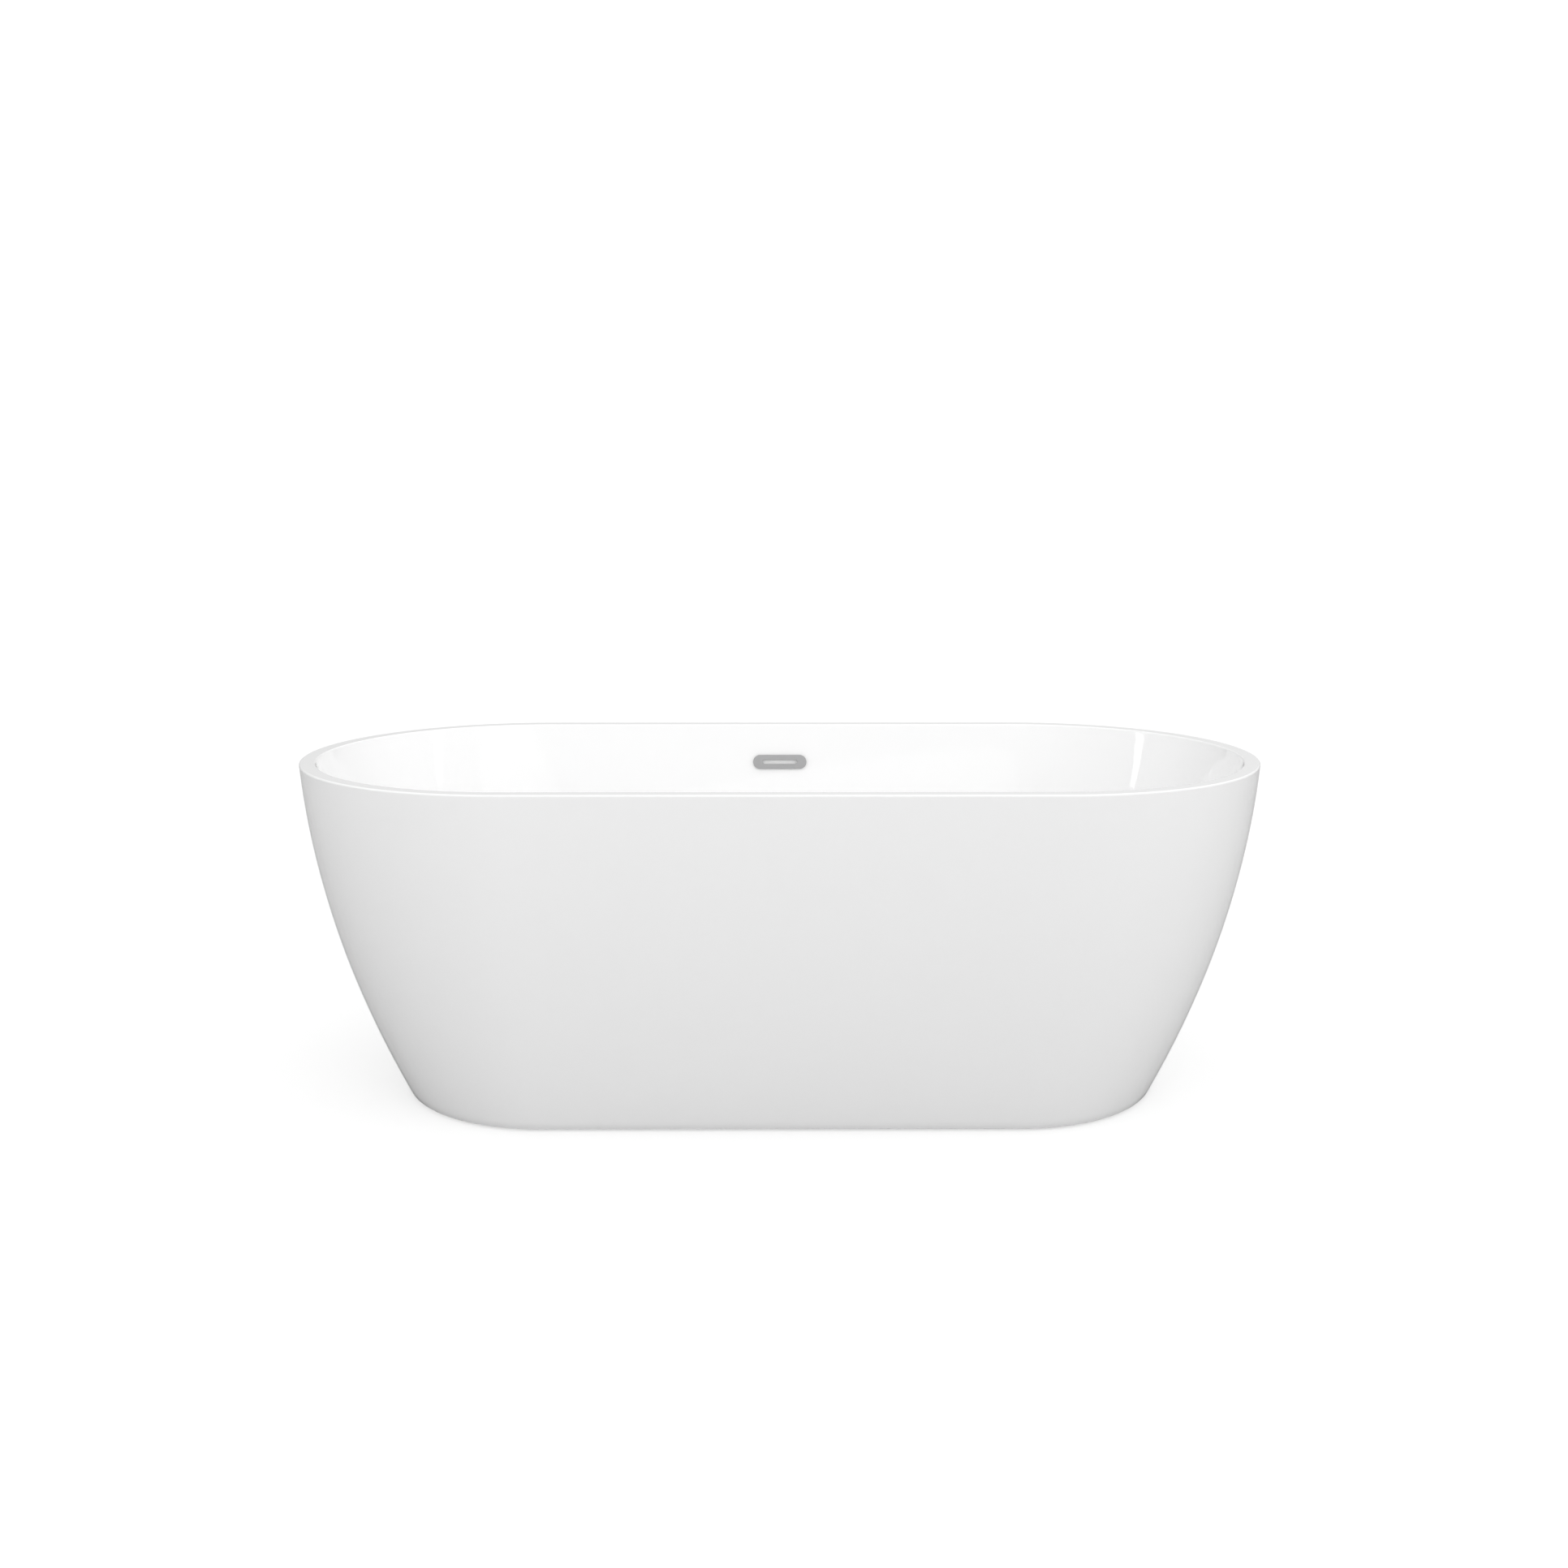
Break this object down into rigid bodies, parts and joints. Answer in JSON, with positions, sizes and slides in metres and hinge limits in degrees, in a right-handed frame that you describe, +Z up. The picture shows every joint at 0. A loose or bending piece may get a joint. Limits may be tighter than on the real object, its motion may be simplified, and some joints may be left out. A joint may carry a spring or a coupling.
{
  "type": "freestanding bathtub",
  "caption": "Double-ended freestanding bathtub: white acrylic basin and apron on a steel frame with levelling feet, slotted overflow and push-to-open waste.",
  "frame": {"origin": "on the floor, under the middle of the waste and of the tub", "axes": "+X along the tub, +Y towards the wall with the overflow, +Z up"},
  "size_m": [1.7, 0.78, 0.6],
  "materials": {
    "white_acrylic": "polished, self-coloured",
    "plywood": "raw, sanded",
    "galvanised_steel": "zinc-coated, dull spangle",
    "zinc_plated_steel": "bright zinc",
    "black_nylon": "moulded",
    "satin_chrome": "satin",
    "chrome": "bright",
    "black_rubber": "matt",
    "white_plastic": "moulded",
    "grey_hose": "flexible PVC",
    "brass": "turned"
  },
  "bodies": {
    "root": {"basin": "white_acrylic", "skirt": "white_acrylic", "base_board": "plywood", "rail_front": "galvanised_steel", "rail_back": "galvanised_steel", "crossbar_left": "galvanised_steel", "crossbar_mid_left": "galvanised_steel", "crossbar_mid_right": "galvanised_steel", "crossbar_right": "galvanised_steel", "skirt_bracket_front_left": "galvanised_steel", "skirt_bracket_front_right": "galvanised_steel", "skirt_bracket_back_left": "galvanised_steel", "skirt_bracket_back_right": "galvanised_steel", "bracket_screws": "zinc_plated_steel", "weld_nuts": "zinc_plated_steel", "lock_nuts": "zinc_plated_steel", "overflow_cover": "satin_chrome", "overflow_insert": "white_plastic", "overflow_screws": "zinc_plated_steel", "overflow_gasket": "black_rubber", "overflow_body": "white_plastic", "overflow_hose": "grey_hose", "hose_clips": "zinc_plated_steel", "drain_flange": "chrome", "drain_seal": "black_rubber", "drain_washer": "black_rubber", "drain_locknut": "white_plastic", "drain_tee": "white_plastic", "tail_pipe": "chrome", "tail_washer": "black_rubber", "tail_nut": "white_plastic", "stopper_barrel": "brass", "stopper_spring": "zinc_plated_steel"},
    "stopper": {"stopper_cap": "chrome", "stopper_seal": "black_rubber", "stopper_stem": "brass"},
    "pad_front_left": {"foot_pad_front_left": "black_nylon"},
    "stud_front_left": {"foot_stud_front_left": "zinc_plated_steel"},
    "pad_front_right": {"foot_pad_front_right": "black_nylon"},
    "stud_front_right": {"foot_stud_front_right": "zinc_plated_steel"},
    "pad_back_left": {"foot_pad_back_left": "black_nylon"},
    "stud_back_left": {"foot_stud_back_left": "zinc_plated_steel"},
    "pad_back_right": {"foot_pad_back_right": "black_nylon"},
    "stud_back_right": {"foot_stud_back_right": "zinc_plated_steel"}
  },
  "joints": [
    {"name": "stopper_slide", "type": "slide", "parent": "root", "child": "stopper", "axis": [0, 0, 1], "range_m": [-0.009, 0], "stiffness_N_per_m": 600, "springref_m": 0.01, "deforming": ["stopper_spring"]},
    {"name": "foot_travel_front_left", "type": "slide", "parent": "root", "child": "pad_front_left", "axis": [0, 0, -1], "range_m": [-0.004, 0.02]},
    {"name": "stud_turn_front_left", "type": "hinge", "parent": "pad_front_left", "child": "stud_front_left", "pos_m": [-0.46, -0.19, 0.03], "axis": [0, 0, -1], "range_deg": [-823, 4115]},
    {"name": "foot_travel_front_right", "type": "slide", "parent": "root", "child": "pad_front_right", "axis": [0, 0, -1], "range_m": [-0.004, 0.02]},
    {"name": "stud_turn_front_right", "type": "hinge", "parent": "pad_front_right", "child": "stud_front_right", "pos_m": [0.46, -0.19, 0.03], "axis": [0, 0, -1], "range_deg": [-823, 4115]},
    {"name": "foot_travel_back_left", "type": "slide", "parent": "root", "child": "pad_back_left", "axis": [0, 0, -1], "range_m": [-0.004, 0.02]},
    {"name": "stud_turn_back_left", "type": "hinge", "parent": "pad_back_left", "child": "stud_back_left", "pos_m": [-0.46, 0.19, 0.03], "axis": [0, 0, -1], "range_deg": [-823, 4115]},
    {"name": "foot_travel_back_right", "type": "slide", "parent": "root", "child": "pad_back_right", "axis": [0, 0, -1], "range_m": [-0.004, 0.02]},
    {"name": "stud_turn_back_right", "type": "hinge", "parent": "pad_back_right", "child": "stud_back_right", "pos_m": [0.46, 0.19, 0.03], "axis": [0, 0, -1], "range_deg": [-823, 4115]}
  ],
  "couplings": [
    {"joint": "stud_turn_front_left", "follows": "foot_travel_front_left", "rad_per_m": 3590.4},
    {"joint": "stud_turn_front_right", "follows": "foot_travel_front_right", "rad_per_m": 3590.4},
    {"joint": "stud_turn_back_left", "follows": "foot_travel_back_left", "rad_per_m": 3590.4},
    {"joint": "stud_turn_back_right", "follows": "foot_travel_back_right", "rad_per_m": 3590.4}
  ]
}
